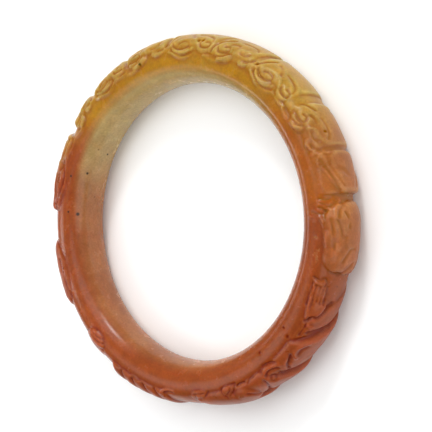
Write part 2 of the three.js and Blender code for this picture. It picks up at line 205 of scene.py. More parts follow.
# Lines of the dragon: height above the form (a groove is below 0), width, and places as
# turn and tilt
DRAGON_LINES = (
    # Horn and ear behind the head
    (0.16, 0.5, ((358.2, 96), (357.4, 86), (357.6, 76), (356.6, 67))),
    (-0.2, 0.3, ((359.4, 92), (358.9, 80), (358.6, 66), (359.8, 56))),
    (0.26, 0.24, ((361.8, 78), (361.2, 68), (360.4, 58), (360.0, 48))),
    (-0.3, 0.24, ((360.7, 76), (360.1, 66), (359.4, 58))),
    (0.2, 0.24, ((362.6, 72), (362.2, 62), (361.6, 52), (361.8, 44))),
    (-0.24, 0.26, ((363.4, 74), (363.0, 60), (363.2, 46))),
    (0.24, 0.26, ((362.4, 22), (361.4, 31), (359.8, 39), (357.4, 42))),
    (-0.24, 0.26, ((360.8, 20), (359.6, 30), (357.6, 34))),
    # Mane on the head
    (-0.2, 0.34, ((344.0, 52), (342.0, 44), (341.0, 32), (340.4, 16))),
    (0.18, 0.4, ((356.6, 67), (351.0, 60), (345.5, 54), (342.4, 44))),
    (-0.2, 0.26, ((357.0, 50), (352.0, 44), (348.5, 41))),
    (0.16, 0.34, ((349.8, 36), (348.6, 37), (348.0, 33), (349.0, 30))),
    (-0.22, 0.26, ((356.6, 36), (354.6, 30), (352.0, 26))),
    (-0.26, 0.26, ((352.0, 19), (350.0, 20), (348.6, 17))),
    (-0.24, 0.3, ((359.0, 20), (357.0, 13), (354.5, 12))),
    (0.22, 0.3, ((358.0, 8), (356.4, 13), (355.6, 16))),
    # Nostril, lip and jaw
    (-0.34, 0.3, ((344.6, 21), (346.4, 14), (348.2, 5), (348.4, -4))),
    (0.26, 0.28, ((342.9, 16), (345.2, 9), (347.4, 1))),
    (-0.34, 0.3, ((341.2, 34), (341.6, 22), (341.0, 12), (343.0, 3), (344.8, -8))),
    (0.2, 0.3, ((341.4, -3), (342.8, -8), (344.8, -7))),
    (-0.3, 0.4, ((341.0, -6), (342.2, -13), (344.4, -17))),
    # Wrist and claws
    (0.24, 0.22, ((335.6, 65), (336.6, 69), (337.3, 64), (337.1, 54), (337.2, 43))),
    (-0.34, 0.24, ((338.7, 72), (338.3, 58), (338.9, 44), (337.6, 39), (336.7, 42))),
    (-0.42, 0.2, ((337.0, 71), (333.5, 71.5), (329.4, 70))),
    (-0.36, 0.18, ((336.2, 61), (334.0, 61.5), (331.2, 59))),
    (-0.36, 0.18, ((336.2, 52), (333.8, 52), (331.4, 50))),
    (-0.36, 0.18, ((335.8, 43.5), (333.4, 44), (331.0, 41))),
    (-0.4, 0.22, ((336.7, 33), (334.0, 34), (331.0, 31))),
    (0.3, 0.24, ((332.6, 66), (329.4, 63), (327.0, 60), (324.6, 54))),
    # Elbow, thigh and the creases of the body
    (-0.5, 0.42, ((324.6, 55), (326.4, 44), (326.9, 31), (330.0, 18), (331.6, 7))),
    (0.24, 0.36, ((323.7, 47), (323.2, 40), (323.4, 33))),
    (-0.5, 0.45, ((320.9, 37), (322.4, 18), (323.4, 2), (324.0, -10))),
    (-0.3, 0.3, ((319.4, 52), (321.6, 50), (323.8, 49))),
    (0.3, 0.34, ((318.6, 25), (317.0, 35), (315.0, 41), (313.0, 38), (312.2, 29))),
    (-0.24, 0.28, ((317.4, 22), (315.6, 31), (313.8, 30))),
    (-0.4, 0.42, ((312.4, 42), (310.6, 36), (308.6, 31), (307.4, 20))),
    (0.32, 0.32, ((307.2, 44), (305.2, 55), (303.0, 59), (301.2, 54))),
    (-0.34, 0.26, ((306.2, 42), (304.8, 50), (302.6, 52), (301.0, 46))),
    (-0.36, 0.28, ((307.0, 56), (305.2, 64), (302.6, 69))),
    (-0.3, 0.22, ((303.4, 34), (302.6, 39), (301.4, 35), (302.2, 28), (303.3, 30))),
    (-0.5, 0.42, ((299.4, 42), (299.0, 30), (297.6, 16), (295.4, -2))),
    (0.2, 0.34, ((297.8, 45), (296.2, 31), (294.6, 12))),
    (-0.3, 0.3, ((291.6, 36), (292.8, 28), (294.0, 14))),
    (-0.5, 0.22, ((293.2, 61), (291.4, 62.5), (289.8, 61))),
    (-0.26, 0.24, ((297.4, 62), (295.4, 60), (294.2, 56))),
    # Tufts
    (-0.36, 0.24, ((289.2, 66), (287.6, 54), (285.6, 47))),
    (-0.36, 0.24, ((287.8, 67), (286.4, 58), (284.8, 52))),
    (-0.4, 0.26, ((289.6, 70), (286.0, 72), (283.6, 68), (283.2, 56), (284.6, 46))),
    (-0.5, 0.22, ((275.8, 66), (273.6, 67.5), (271.4, 66))),
    (0.26, 0.24, ((275.0, 71), (273.4, 72.5), (271.6, 70))),
    (-0.3, 0.24, ((277.9, 69), (277.2, 63), (276.0, 57))),
    (-0.26, 0.24, ((274.4, 61), (274.0, 54), (273.6, 48))),
    (-0.26, 0.24, ((272.4, 61), (271.8, 54), (271.4, 48))),
    (0.3, 0.26, ((262.8, 68), (260.2, 70), (257.8, 64), (256.8, 56))),
    (-0.3, 0.26, ((262.0, 63), (260.0, 64), (258.4, 58))),
    (0.22, 0.26, ((250.2, 64), (248.2, 65), (246.6, 58))),
    (0.22, 0.26, ((246.0, 67), (244.2, 68), (242.6, 62))),
    # Tail
    (-0.4, 0.3, ((227.0, 84), (224.4, 78), (221.0, 76))),
    (-0.34, 0.28, ((225.8, 90), (222.6, 85), (219.6, 84))),
    (-0.34, 0.4, ((204.0, 66), (198.0, 68), (190.0, 66))),
    (-0.3, 0.4, ((203.0, 48), (197.0, 50), (188.0, 46))),
    (-0.3, 0.4, ((202.0, 28), (196.0, 30), (187.0, 26))),
)

# Small dark pits: turn, tilt and radius in millimetres
PITS = (
    (22.8, 24.0, 0.3),
    (53.3, 48.0, 0.28),
    (78.0, 45.0, 0.34),
    (76.5, 43.0, 0.36),
    (102.6, 77.0, 0.34),
    (104.3, 64.0, 0.26),
    (304.6, 98.0, 0.3),
    (316.8, 73.0, 0.3),
    (318.3, 92.0, 0.22),
)

# Specks of dark mineral under the polish of the bore: turn, tilt and radius in millimetres
BORE_SPECKS = (
    (172.8, 134.5, 0.5),
    (155.0, 144.5, 0.36),
    (157.8, 100.5, 0.34),
    (172.0, 107.0, 0.3),
    (145.2, 181.0, 0.3),
)

# Rough spots left by the drill beside the head, their glints painted in as pale gold specks:
# turn, tilt and spread in degrees and count
ROUGH_SPOTS = ((351.3, 84.0, 1.3, 6.0, 8), (346.3, 78.0, 2.2, 8.0, 18))
ROUGH_SPOT_RADIUS = 0.2
FLECK_DEPTH_SHARE = 0.25

# Mesh: columns round the ring, rows across the carved side and across the bore
COLUMNS = 1080
CARVED_ROWS = 82
BORE_ROWS = 9
CURVE_STEPS = 5

# The carving fades out from the band's edge to the shoulder, and over a few degrees by the foot
SHOULDER_TILT = 112.0
BAND_EDGE = 100.0
FOOT_FADE = 4.0

# Finish of the carving: passes of smoothing, shares of a height and millimetres
POLISH_PASSES = 1
# The crest passes and depth find the crests and hollows that take painted highlight and shade
CREST_PASSES = 18
HAND_PASSES = 40
HAND_SPREAD = 0.3
HAND_DEPTH = 0.018
HAND_HEIGHT = 0.4
HEIGHT_LIMIT = 0.92
CREST_DEPTH = 0.11

# Wear on the carving: the heights over which it starts, how much stronger it is on the
# outermost face, and the tilts over which it grows to that
WORN_HEIGHTS = (0.05, 0.45)
OUTER_WEAR = 1.6
WEAR_TILTS = (60.0, 5.0)

QUARTER = 90.0
HALF_TURN = 180.0
FULL_TURN = 360.0

HALF_WALL = WALL_THICKNESS / 2
HALF_WIDTH = RING_WIDTH / 2
MIDDLE_RADIUS = BORE_DIAMETER / 2 + HALF_WALL
MIDDLE_HEIGHT = HALF_WIDTH - FOOT_DEPTH
TILT_LENGTH = math.radians(1) * math.hypot(HALF_WALL, HALF_WIDTH) / math.sqrt(2)
FOOT_SINE = ((HALF_WIDTH - FOOT_DEPTH) / HALF_WIDTH) ** (SECTION_POWER / 2)
FOOT_TILT = -math.degrees(math.asin(FOOT_SINE))

# Camera, in the frame of the ring: direction from the ring, distance and lens.
# The ring's middle falls left of and below the middle of the picture.
CAMERA_OFF_AXIS = 39.1
CAMERA_DROP = -1.7
CAMERA_ROLL = -3.6
CAMERA_DISTANCE = 260.0
SCALE_AT_RING = 4.863
PICTURE_SIDE = 432.0
RING_MIDDLE_PIXEL = (195.1, 221.8)
SENSOR_WIDTH = 36.0

# Zones of the stone round the ring, in degrees of turn: the middle, and how far from it
# the zone is full and gone
AMBER_ZONE = (68.0, 56.0, 93.0)
HONEY_ZONE = (88.0, 38.0, 68.0)
CORE_ZONE = (99.0, 38.0, 84.0)

# How many degrees wider a zone is on the outer face, and the tilts over which it widens
ZONE_SPREAD = 12.0
SPREAD_TILTS = (100.0, 50.0)

# Darker patch behind the head: turn and tilt of the middle, and its spread in degrees
RUSSET_PATCH = (349.0, 84.0, 9.0, 24.0)

# Tilts over which the stone of the bore takes over, by the upper and by the lower face
BORE_TILTS = (106.0, 150.0)
LOWER_BORE_TILTS = (-80.0, -98.0)
CORE_TILTS = (100.0, 124.0)

# How much of the pale worn stone a flat carved face shows, and how much more a crest does, from
# wear and painted highlight
FACE_WEAR = 0.16
CREST_WEAR_AND_HIGHLIGHT = 0.5
# How strongly the hollows take their painted shade
HOLLOW_SHADE_STRENGTH = 0.85

# The darkest that a pit or a speck makes the stone, and the gloss where there is none
DARK_SHARE = 0.12
GLOSS_LEVEL = 0.21

# Roughness lost and gained by the mottling, and what the carved faces have more
MOTTLE_DULLNESS = (-0.03, 0.05)
CARVED_DULLNESS = 0.05

# How strongly the tool marks show on the polished and, above that, on the carved faces
TOOL_MARK_DEPTH = 0.06
POLISHED_MARKS = 0.04
CARVED_MARKS = 0.3

# How far light goes into the stone, in millimetres, and the share of it for each colour
SCATTER_DEPTH = 1.6
SCATTER_SHARES = (1.0, 0.45, 0.18)
SCATTER_WEIGHT = 0.7
NEPHRITE_IOR = 1.61

# Sizes of the stone's markings, millimetres
CLOUDING_SIZE = 8.0
VEIL_SIZE = 5.0
MOTTLE_SIZE = 2.2
GRAIN_SIZE = 0.45
SPECK_SPACING = 5.0
SPECK_RADIUS = 0.14
TOOL_MARK_SIZE = 0.8

# Most values of a noise lie in its span. How far the zones drift, and how strong a veil is
NOISE_SPAN = (0.3, 0.7)
ZONE_DRIFT = 0.2
VEIL_SPAN = (0.48, 0.8)
VEIL_SHARE = 0.24

# The tent round the stage is brightest on one side. The span is how far towards that side
# its darkest and its brightest place lie, as cosines, and the glow is their strengths.
BRIGHT_SIDE = (0.0, 0.8, 0.6)
TENT_SPAN = (-0.6, 0.8)
TENT_GLOW = (0.24, 0.58)

# Soft lights: name, place that it faces in millimetres from the ring's middle, direction
# from there, distance and side in metres, power in watts
SOFTBOXES = (
    ("top_softbox", (0, 0), (0.1, 0.4, 0.91), 0.8, 0.6, 2.4),
    ("key_lamp", (0, 0), (0.15, 0.8, 0.58), 0.8, 0.14, 1.9),
    ("fill_softbox", (0, 0), (0.8, -0.3, 0.52), 1.0, 0.7, 2.8),
    ("overhead_softbox", (0, 0), (-0.5, -0.34, 0.8), 0.3, 0.17, 0.17),
    ("left_reflector", (-33, -8), (-0.8, 0.03, 0.6), 0.09, 0.03, 0.016),
)


def bore_axis():
    """Where the bore's axis stands, in metres, from the inner line of the plain ring."""
    ring = bpy.data.objects["bangle"]
    places = np.array([ring.matrix_world @ vertex.co for vertex in ring.data.vertices])
    level = np.abs(places[:, 2] / MM - MIDDLE_HEIGHT) < 1
    within = np.hypot(places[:, 0], places[:, 1]) / MM < MIDDLE_RADIUS
    inner = places[level & within, :2]
    return (inner.min(0) + inner.max(0)) / 2


AXIS_X, AXIS_Y = bore_axis()


def signed_power(value, power):
    """The power of a cosine or sine, with its sign kept."""
    return np.sign(value) * np.abs(value) ** power


def section_point(tilt):
    """The plain section at a tilt, from the middle of the wall, in millimetres."""
    angle = np.radians(tilt)
    power = 2 / SECTION_POWER
    out = HALF_WALL * signed_power(np.cos(angle), power)
    up = HALF_WIDTH * signed_power(np.sin(angle), power)
    return out, up


def section_normal(out, up):
    """The outward direction of the plain section at one of its points."""
    power = SECTION_POWER - 1
    across = signed_power(out / HALF_WALL, power) / HALF_WALL
    along = signed_power(up / HALF_WIDTH, power) / HALF_WIDTH
    length = np.hypot(across, along)
    return across / length, along / length


def turn_between(turn, start):
    """Signed way between two turns, from -180 to 180 degrees."""
    return (turn - start + HALF_TURN) % FULL_TURN - HALF_TURN


def along_ring(turn, start, tilt):
    """Millimetres along the surface between two turns, at a tilt."""
    return np.radians(turn_between(turn, start)) * (MIDDLE_RADIUS + section_point(tilt)[0])


def across_face(tilt, start):
    """Millimetres across the outer face between two tilts."""
    return (tilt - start) * TILT_LENGTH


def pillow(inside, rounding):
    """Height of a form with rounded edges, from the distance inside its outline."""
    left = 1 - np.clip(inside / rounding, 0, 1)
    return np.sqrt(1 - left * left)


def dip(distance, width):
    """A rounded groove, from the distance to its line and its width."""
    return np.exp(-((distance / width) ** 2))


def smooth_step(value, start, end):
    """A smooth rise from 0 to 1 between two values."""
    share = np.clip((value - start) / (end - start), 0, 1)
    return share * share * (3 - 2 * share)


def mix(first, last, share):
    """The value at a share of the way from the first to the last."""
    return first + (last - first) * share


def thinning(tilt):
    """How much of the carving's height is left at a tilt."""
    return np.maximum(0, np.cos(np.radians(tilt))) ** THINNING_POWER


def smooth_curve(places):
    """Places along a smooth curve that passes through the given ones."""
    known = np.array(places, dtype=float)
    known = np.vstack([2 * known[0] - known[1], known, 2 * known[-1] - known[-2]])
    curve = []
    for before, start, end, after in zip(known, known[1:], known[2:], known[3:]):
        for i in range(CURVE_STEPS):
            t = i / CURVE_STEPS
            curve.append(
                0.5 * (2 * start + (end - before) * t
                       + (2 * before - 5 * start + 4 * end - after) * t * t
                       + (3 * start - before - 3 * end + after) * t ** 3)
            )
    return np.array([*curve, known[-2]])


class Carving:
    """Height and marks of the carving over a grid of turns and tilts."""

    def __init__(self, turns, tilts):
        self.turns = turns
        self.tilts = tilts
        self.turn, self.tilt = np.meshgrid(turns, tilts)
        self.height = np.zeros_like(self.turn)
        self.pitted = np.zeros_like(self.turn)
        # Painted glints: pale gold specks put into the colour
        self.painted_glint = np.zeros_like(self.turn)
        self.hand = hand_work(self.turn.shape)

    def line(self, places, height, width):
        """A raised rim, or a groove where the height is below 0, along a smooth curve."""
        curve = smooth_curve(places)
        middle = curve.mean(axis=0)
        reach = 3 * width
        length = math.radians(1) * (MIDDLE_RADIUS + float(section_point(middle[1])[0]))
        far = np.abs(curve - middle).max(axis=0) + (reach / length, reach / TILT_LENGTH)
        columns = np.abs(turn_between(self.turns, middle[0])) < far[0]
        rows = np.abs(self.tilts - middle[1]) < far[1]
        window = np.ix_(rows, columns)
        x = turn_between(self.turn[window], middle[0]) * length
        y = across_face(self.tilt[window], middle[1])
        line = (curve - middle) * (length, TILT_LENGTH)
        nearest = np.full_like(x, reach)
        for start, end in zip(line, line[1:]):
            step = end - start
            share = ((x - start[0]) * step[0] + (y - start[1]) * step[1]) / (step @ step)
            share = np.clip(share, 0, 1)
            gap = np.hypot(x - start[0] - share * step[0], y - start[1] - share * step[1])
            nearest = np.minimum(nearest, gap)
        shape = dip(nearest, width * LINE_WIDTH_SHARE)
        self.height[window] += height * shape * self.hand[window]

    def mound(self, at, tilt, along, across, height, rounding):
        """An oval mound with rounded edges, its half lengths in millimetres."""
        beside = along_ring(self.turn, at, self.tilt) / along
        above = across_face(self.tilt, tilt) / across
        inside = (1 - np.hypot(beside, above)) * across
        self.height = np.maximum(self.height, height * pillow(inside, rounding))

    def pit(self, at, tilt, radius):
        """A small round pit with a dark floor."""
        distance = np.hypot(along_ring(self.turn, at, self.tilt), across_face(self.tilt, tilt))
        shape = dip(distance, radius)
        self.height -= radius * shape
        self.pitted = np.maximum(self.pitted, shape)

    def fleck(self, at, tilt, radius):
        """A small dent that has broken the polish, so that it glints. The glint is painted into
        the colour as a pale gold speck.
        """
        distance = np.hypot(along_ring(self.turn, at, self.tilt), across_face(self.tilt, tilt))
        shape = dip(distance, radius)
        self.height -= radius * FLECK_DEPTH_SHARE * shape
        self.painted_glint = np.maximum(self.painted_glint, shape)


def carve_clouds(carving, full_height):
    """The row of clouds over one half of the ring."""
    turn, tilt = carving.turn, carving.tilt
    lean = tilt / QUARTER
    full = full_height * thinning(tilt)
    floor_left = 1 - smooth_step(np.abs(tilt), CLOUD_EDGE, FLOOR_EDGE)
    rise = smooth_step(tilt, 0, CLOUD_EDGE)
    for first, last in zip(CLOUD_BREAKS, CLOUD_BREAKS[1:]):
        at, tip, half, low, edge, filled = first
        next_at, next_tip, next_half, next_low, next_edge, next_filled = last
        start = at + half + tip * lean
        end = next_at - next_half + next_tip * lean
        share = np.clip((turn - start) / (end - start), 0, 1)
        floor = floor_left * mix(low, next_low, share)
        shallow = mix(filled, next_filled, share) * rise
        within = (turn >= start) & (turn < end)
        gap = (turn >= end) & (turn < end + 2 * next_half)
        ends = np.minimum(along_ring(turn, start, tilt), along_ring(end, turn, tilt))
        top = mix(edge, next_edge, share)
        sides = np.minimum(across_face(top, tilt), across_face(tilt, FAR_EDGE))
        along = mix(pillow(ends, CLOUD_ROUNDING), 1, shallow)
        body = floor + (1 - floor) * np.minimum(along, pillow(sides, CLOUD_ROUNDING))
        carving.height = np.where(within, full * body, carving.height)
        left = mix(next_low, 1, next_filled * rise) * floor_left
        carving.height = np.where(gap, full * left, carving.height)


def cloud_place(first, last, side, share, tilt):
    """Turn and tilt of a place given by its share of a cloud's length and its tilt.

    The side is 1 for the cloud's upper edge and -1 for the lower one.
    """
    lean = side * tilt / QUARTER
    start = first[0] + first[2] + first[1] * lean
    end = last[0] - last[2] + last[1] * lean
    return mix(start, end, share), side * tilt


def carve_scrolls(carving, full_height):
    """Scroll heads and their lines on both edges of each cloud, plainer on the lower edge."""
    for i, (first, last) in enumerate(zip(CLOUD_BREAKS, CLOUD_BREAKS[1:])):
        leaf = first[4] < CLOUD_EDGE
        for side in (1, -1):
            if not leaf:
                begin = cloud_place(first, last, side, 0, SCROLL_TILT)[0]
                finish = cloud_place(first, last, side, 1, SCROLL_TILT)[0]
                length = float(along_ring(finish, begin, SCROLL_TILT))
                for share, half, tilt, across in SCROLL_HEADS:
                    at, up = cloud_place(first, last, side, share, tilt)
                    height = full_height * float(thinning(SCROLL_TILT)) + SCROLL_RISE
                    carving.mound(at, up, half * length, across, height, CLOUD_ROUNDING)
            lines = LEAF_SCROLL if leaf else (ARCHED_SCROLL, FLAME_SCROLL)[i % 2]
            for height, width, places in lines[:None if side > 0 else LOWER_EDGE_LINES]:
                curve = [cloud_place(first, last, side, *one) for one in places]
                carving.line(curve, height, width)


def carve_dragon(carving, full_height):
    """The dragon's head, paws, folded body, ridge and tail."""
    turn, tilt = carving.turn, carving.tilt
    full = full_height * thinning(tilt)
    wound = turn + tilt / FOLD_SLANT
    form = np.zeros_like(turn)
    for start, end, first, last in DRAGON_FOLDS:
        inside = np.minimum(along_ring(wound, start, tilt), along_ring(end, wound, tilt))
        inside = np.minimum(inside, across_face(DRAGON_EDGE, tilt) * FOLD_EDGE_SHARE)
        inside = np.minimum(inside, across_face(tilt, FAR_EDGE))
        share = np.clip((wound - start) / (end - start), 0, 1)
        form = np.maximum(form, mix(first, last, share) * pillow(inside, DRAGON_ROUNDING))
    for at, up, along, across, height in DRAGON_LOBES:
        reach = np.hypot(turn_between(turn, at) / along, (tilt - up) / across)
        inside = (1 - reach) * np.radians(along) * MIDDLE_RADIUS
        form = np.maximum(form, height * pillow(inside, LOBE_ROUNDING))
    form = np.maximum(form, ridge_form(turn, tilt))
    carving.height = np.maximum(carving.height, full * form)
    for at, up, along, across, height in DRAGON_KNOBS:
        carving.mound(at, up, along, across, height, DRAGON_ROUNDING)
    for height, width, places in DRAGON_LINES:
        carving.line(places, height * DRAGON_LINE_SHARE, width)


def ridge_form(turn, tilt):
    """The toothed ridge, as a share of the dragon's height."""
    place = turn + RIDGE_LEAN * (tilt / QUARTER)
    inside = np.minimum(along_ring(place, RIDGE_FROM, tilt), along_ring(RIDGE_TO, place, tilt))
    inside = np.minimum(inside, across_face(RIDGE_TOP_TILT, tilt))
    inside = np.minimum(inside, across_face(tilt, RIDGE_LOW_TILT))
    share = (place - RIDGE_FROM) / (RIDGE_TO - RIDGE_FROM)
    tooth = share * RIDGE_TEETH
    to_slot = (tooth - np.round(tooth)) * along_ring(RIDGE_TO, RIDGE_FROM, tilt) / RIDGE_TEETH
    slot = TOOTH_SLOT_DEPTH * dip(to_slot, TOOTH_SLOT_WIDTH)
    top = mix(RIDGE_HEIGHTS[0], RIDGE_HEIGHTS[1], share)
    return np.maximum(0, top - slot) * pillow(inside, DRAGON_ROUNDING)


def carve(turns, tilts, cloud_height, dragon_height):
    """All the carving over a grid of turns and tilts."""
    carving = Carving(turns, tilts)
    carve_clouds(carving, cloud_height)
    carve_scrolls(carving, cloud_height)
    carve_dragon(carving, dragon_height)
    for at, tilt, radius in PITS:
        carving.pit(at, tilt, radius)
    chance = np.random.default_rng(7)
    for at, tilt, along, across, count in ROUGH_SPOTS:
        for aside, above in chance.normal(size=(count, 2)) / 2:
            carving.fleck(at + aside * along, tilt + above * across, ROUGH_SPOT_RADIUS)
    return carving


def ring_points(turn, tilt, height):
    """Places of the carved ring over a grid, in metres."""
    out, up = section_point(tilt)
    across, along = section_normal(out, up)
    radius = (MIDDLE_RADIUS + out + height * across) * MM
    level = np.maximum(0, MIDDLE_HEIGHT + up + height * along) * MM
    angle = np.radians(turn)
    return np.stack([AXIS_X + radius * np.cos(angle), AXIS_Y + radius * np.sin(angle), level], -1)


def hand_work(shape):
    """An even unsteadiness of the carver's hand over a grid, about 1."""
    chance = np.random.default_rng(11)
    unsteady = polished(chance.normal(size=shape), HAND_PASSES)
    return 1 + HAND_SPREAD * unsteady / unsteady.std()


def polished(height, passes):
    """The height with its sharpest edges worn down by polishing."""
    for _ in range(passes):
        sides = np.roll(height, 1, 1) + np.roll(height, -1, 1)
        ends = np.vstack([height[:1], height[:-1]]) + np.vstack([height[1:], height[-1:]])
        height = (height * 4 + sides + ends) / 8
    return height


def zone(turn, tilt, middle, full, gone):
    """How much a zone of the stone shows. It is wider on the outer face than by the bore."""
    wider = ZONE_SPREAD * smooth_step(tilt, *SPREAD_TILTS)
    return 1 - smooth_step(np.abs(turn_between(turn, middle)), full + wider, gone + wider)


def build_ring_mesh(name, cloud_height, dragon_height):
    """The carved ring as one closed mesh, with its hollows and rims as attributes, the masks of
    painted shade and highlight.
    """
    first_tilt = -HALF_TURN - FOOT_TILT
    carved_tilts = np.linspace(first_tilt, SHOULDER_TILT, CARVED_ROWS)
    bore_tilts = np.linspace(SHOULDER_TILT, FULL_TURN + first_tilt, BORE_ROWS + 2)[1:-1]
    tilts = np.concatenate([carved_tilts, bore_tilts])
    turns = np.arange(COLUMNS) * FULL_TURN / COLUMNS
    carving = carve(turns, tilts, cloud_height, dragon_height)
    turn, tilt = carving.turn, carving.tilt
    fade = smooth_step(tilt, FOOT_TILT, FOOT_TILT + FOOT_FADE)
    fade *= 1 - smooth_step(tilt, BAND_EDGE, SHOULDER_TILT)
    rough = HAND_DEPTH * (carving.hand - 1) / HAND_SPREAD
    rough *= smooth_step(carving.height, 0, HAND_HEIGHT)
    height = polished((carving.height + rough) * fade, POLISH_PASSES)
    height = np.minimum(height, HEIGHT_LIMIT * max(cloud_height, dragon_height))
    # Crests and hollows of the carving, the masks of the painted highlight and painted shade
    crest = (height - polished(height, CREST_PASSES)) / CREST_DEPTH

    points = ring_points(turn, tilt, height).reshape(-1, 3)
    points = np.clip(points, *CAD_BOUNDS)
    rows = np.arange(turn.size).reshape(turn.shape)
    over = np.roll(rows, -1, 0)
    faces = np.stack([rows, np.roll(rows, -1, 1), np.roll(over, -1, 1), over], -1)
    mesh = bpy.data.meshes.new(name)
    mesh.from_pydata(points.tolist(), [], faces.reshape(-1, 4).tolist())
    mesh.validate()
    mesh.polygons.foreach_set("use_smooth", [True] * len(mesh.polygons))
    wear = mix(1, OUTER_WEAR, smooth_step(tilt, *WEAR_TILTS))
    at, up, along, across = RUSSET_PATCH
    patch = dip(np.hypot(turn_between(turn, at) / along, (tilt - up) / across), 1)
    by_bore = np.maximum(smooth_step(tilt, *BORE_TILTS), smooth_step(tilt, *LOWER_BORE_TILTS))
    marks = {
        # Painted shade in the hollows, and crests paler from wear and painted highlight
        "painted_hollow_shade": np.clip(-crest, 0, 1),
        "rim": np.maximum(np.clip(crest, 0, 1), carving.painted_glint),
        "pitted": carving.pitted,
        # Carved faces are worn pale; the painted glints take the pale and amber tones, so they
        # show gold
        "carved": np.maximum(smooth_step(height, *WORN_HEIGHTS) * wear, carving.painted_glint),
        "amber": np.maximum(zone(turn, tilt, *AMBER_ZONE) * (1 - patch), carving.painted_glint),
        "honey": zone(turn, tilt, *HONEY_ZONE),
        "bore": by_bore,
        "core": zone(turn, tilt, *CORE_ZONE) * smooth_step(tilt, *CORE_TILTS),
    }
    for label, values in marks.items():
        layer = mesh.attributes.new(label, "FLOAT", "POINT")
        layer.data.foreach_set("value", values.astype(np.float32).reshape(-1))
    mesh.update()
    return mesh


def linear(hex_colour, alpha=1.0):
    """An sRGB hex colour as linear values."""
    parts = [int(hex_colour[i:i + 2], 16) / 255 for i in (1, 3, 5)]
    parts = [c / 12.92 if c <= 0.04045 else ((c + 0.055) / 1.055) ** 2.4 for c in parts]
    return (*parts, alpha)


def add_node(tree, kind, settings=None, output=None):
    """Adds a node and returns an output. A setting that is a socket is linked."""
    node = tree.nodes.new(kind)
    for name, value in (settings or {}).items():
        if isinstance(value, bpy.types.NodeSocket):
            tree.links.new(value, node.inputs[name])
        elif isinstance(name, str) and name in node.bl_rna.properties:
            setattr(node, name, value)
        else:
            node.inputs[name].default_value = value
    if output:
        return node.outputs[output]
    return next(socket for socket in node.outputs if socket.enabled)


def remap(tree, value, before, after):
    """A value brought from one span to another, and held within the second."""
    return add_node(tree, RANGE, {
        "Value": value, "From Min": before[0], "From Max": before[1],
        "To Min": after[0], "To Max": after[1],
    })


# Kinds of node, and the sockets of a colour mix
ATTRIBUTE = "ShaderNodeAttribute"
MATH = "ShaderNodeMath"
MIX = "ShaderNodeMix"
NOISE = "ShaderNodeTexNoise"
RANGE = "ShaderNodeMapRange"
SHARE, FIRST, SECOND = 0, 6, 7


